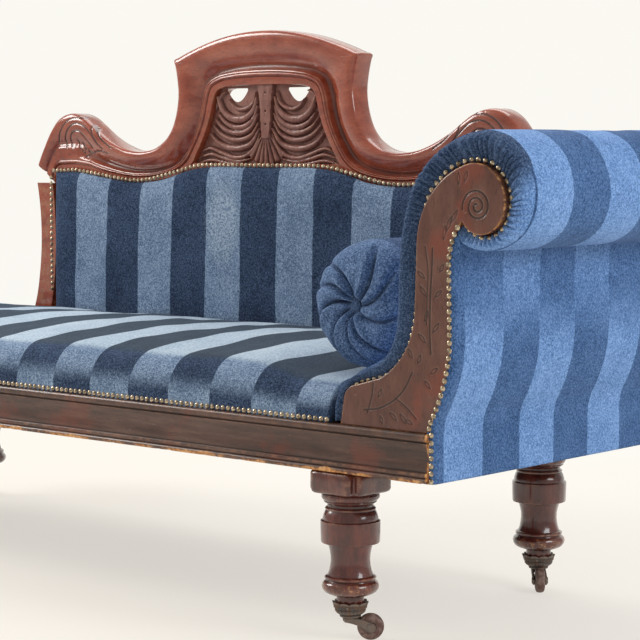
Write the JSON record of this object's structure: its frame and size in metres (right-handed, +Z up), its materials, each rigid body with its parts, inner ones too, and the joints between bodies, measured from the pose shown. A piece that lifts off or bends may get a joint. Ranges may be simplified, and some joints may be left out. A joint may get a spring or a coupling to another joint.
{
  "type": "fainting couch",
  "caption": "Upholstered fainting couch with one scroll arm, carved arched wooden back, loose round bolster and turned legs on swivel castors.",
  "frame": {"origin": "centre of the bounding box, on the floor", "axes": "+X towards the scroll-arm end, -Y towards the front, +Z up"},
  "size_m": [1.925, 0.598, 0.9364],
  "materials": {
    "show_mahogany": "worn gloss",
    "red_mahogany": "gloss",
    "frame_beech": "raw",
    "blue_velvet": "pile",
    "jute": "woven",
    "dust_linen": "woven",
    "castor_iron": "dark",
    "castor_wheel": "worn",
    "spring_steel": "dull",
    "nail_brass": "aged"
  },
  "bodies": {
    "couch": {"arm_facing": "show_mahogany", "arm_front_border": "blue_velvet", "arm_front_stump": "frame_beech", "arm_lower_rail": "frame_beech", "arm_nails": "nail_brass", "arm_outer_panel": "blue_velvet", "arm_pad": "blue_velvet", "arm_rear_stump": "frame_beech", "arm_roll_rail": "frame_beech", "arm_webbing": "jute", "back_crest": "red_mahogany", "back_fret_panel": "red_mahogany", "back_lower_rail": "frame_beech", "back_nails": "nail_brass", "back_outer_cloth": "blue_velvet", "back_pad": "blue_velvet", "back_shoulder_foot": "red_mahogany", "back_shoulder_head": "red_mahogany", "back_stile_foot": "red_mahogany", "back_stile_head": "frame_beech", "back_tack_rail": "frame_beech", "back_uprights": "frame_beech", "back_webbing": "jute", "bottom_cloth": "dust_linen", "castor_cup_front_foot": "castor_iron", "castor_cup_front_head": "castor_iron", "castor_cup_rear_foot": "castor_iron", "castor_cup_rear_head": "castor_iron", "castor_screws": "spring_steel", "corner_braces": "frame_beech", "foot_rail_moulding": "show_mahogany", "foot_seat_rail": "frame_beech", "front_rail_moulding": "show_mahogany", "front_seat_rail": "frame_beech", "head_seat_rail": "frame_beech", "leg_front_foot": "show_mahogany", "leg_front_head": "show_mahogany", "leg_rear_foot": "show_mahogany", "leg_rear_head": "show_mahogany", "rear_leg_blocks": "frame_beech", "rear_seat_rail": "frame_beech", "seat_hessian": "jute", "seat_nails": "nail_brass", "seat_pad": "blue_velvet", "seat_springs": "spring_steel", "seat_webbing": "jute"},
    "fork_front_head": {"castor_fork_front_head": "castor_iron", "castor_axle_front_head": "castor_iron"},
    "wheel_front_head": {"castor_wheel_front_head": "castor_wheel"},
    "fork_rear_head": {"castor_fork_rear_head": "castor_iron", "castor_axle_rear_head": "castor_iron"},
    "wheel_rear_head": {"castor_wheel_rear_head": "castor_wheel"},
    "fork_front_foot": {"castor_fork_front_foot": "castor_iron", "castor_axle_front_foot": "castor_iron"},
    "wheel_front_foot": {"castor_wheel_front_foot": "castor_wheel"},
    "fork_rear_foot": {"castor_fork_rear_foot": "castor_iron", "castor_axle_rear_foot": "castor_iron"},
    "wheel_rear_foot": {"castor_wheel_rear_foot": "castor_wheel"},
    "bolster": {"bolster": "blue_velvet", "bolster_buttons": "blue_velvet"}
  },
  "joints": [
    {"name": "castor_swivel_front_head", "type": "hinge", "parent": "couch", "child": "fork_front_head", "pos_m": [0.6175, -0.249, 0.034], "axis": [0, 0, 1], "continuous": true},
    {"name": "castor_roll_front_head", "type": "hinge", "parent": "fork_front_head", "child": "wheel_front_head", "pos_m": [0.64048, -0.22972, 0.02], "axis": [-0.6428, 0.766, 0], "continuous": true},
    {"name": "castor_swivel_rear_head", "type": "hinge", "parent": "couch", "child": "fork_rear_head", "pos_m": [0.6175, 0.23, 0.034], "axis": [0, 0, 1], "continuous": true},
    {"name": "castor_roll_rear_head", "type": "hinge", "parent": "fork_rear_head", "child": "wheel_rear_head", "pos_m": [0.63678, 0.20702, 0.02], "axis": [0.766, 0.6428, 0], "continuous": true},
    {"name": "castor_swivel_front_foot", "type": "hinge", "parent": "couch", "child": "fork_front_foot", "pos_m": [-0.7825, -0.249, 0.034], "axis": [0, 0, 1], "continuous": true},
    {"name": "castor_roll_front_foot", "type": "hinge", "parent": "fork_front_foot", "child": "wheel_front_foot", "pos_m": [-0.80969, -0.26168, 0.02], "axis": [0.4226, -0.9063, 0], "continuous": true},
    {"name": "castor_swivel_rear_foot", "type": "hinge", "parent": "couch", "child": "fork_rear_foot", "pos_m": [-0.7825, 0.23, 0.034], "axis": [0, 0, 1], "continuous": true},
    {"name": "castor_roll_rear_foot", "type": "hinge", "parent": "fork_rear_foot", "child": "wheel_rear_foot", "pos_m": [-0.80848, 0.245, 0.02], "axis": [-0.5, -0.866, 0], "continuous": true},
    {"name": "bolster_lift", "type": "slide", "parent": "couch", "child": "bolster", "axis": [0, 0, 1], "range_m": [0, 0.56]}
  ]
}
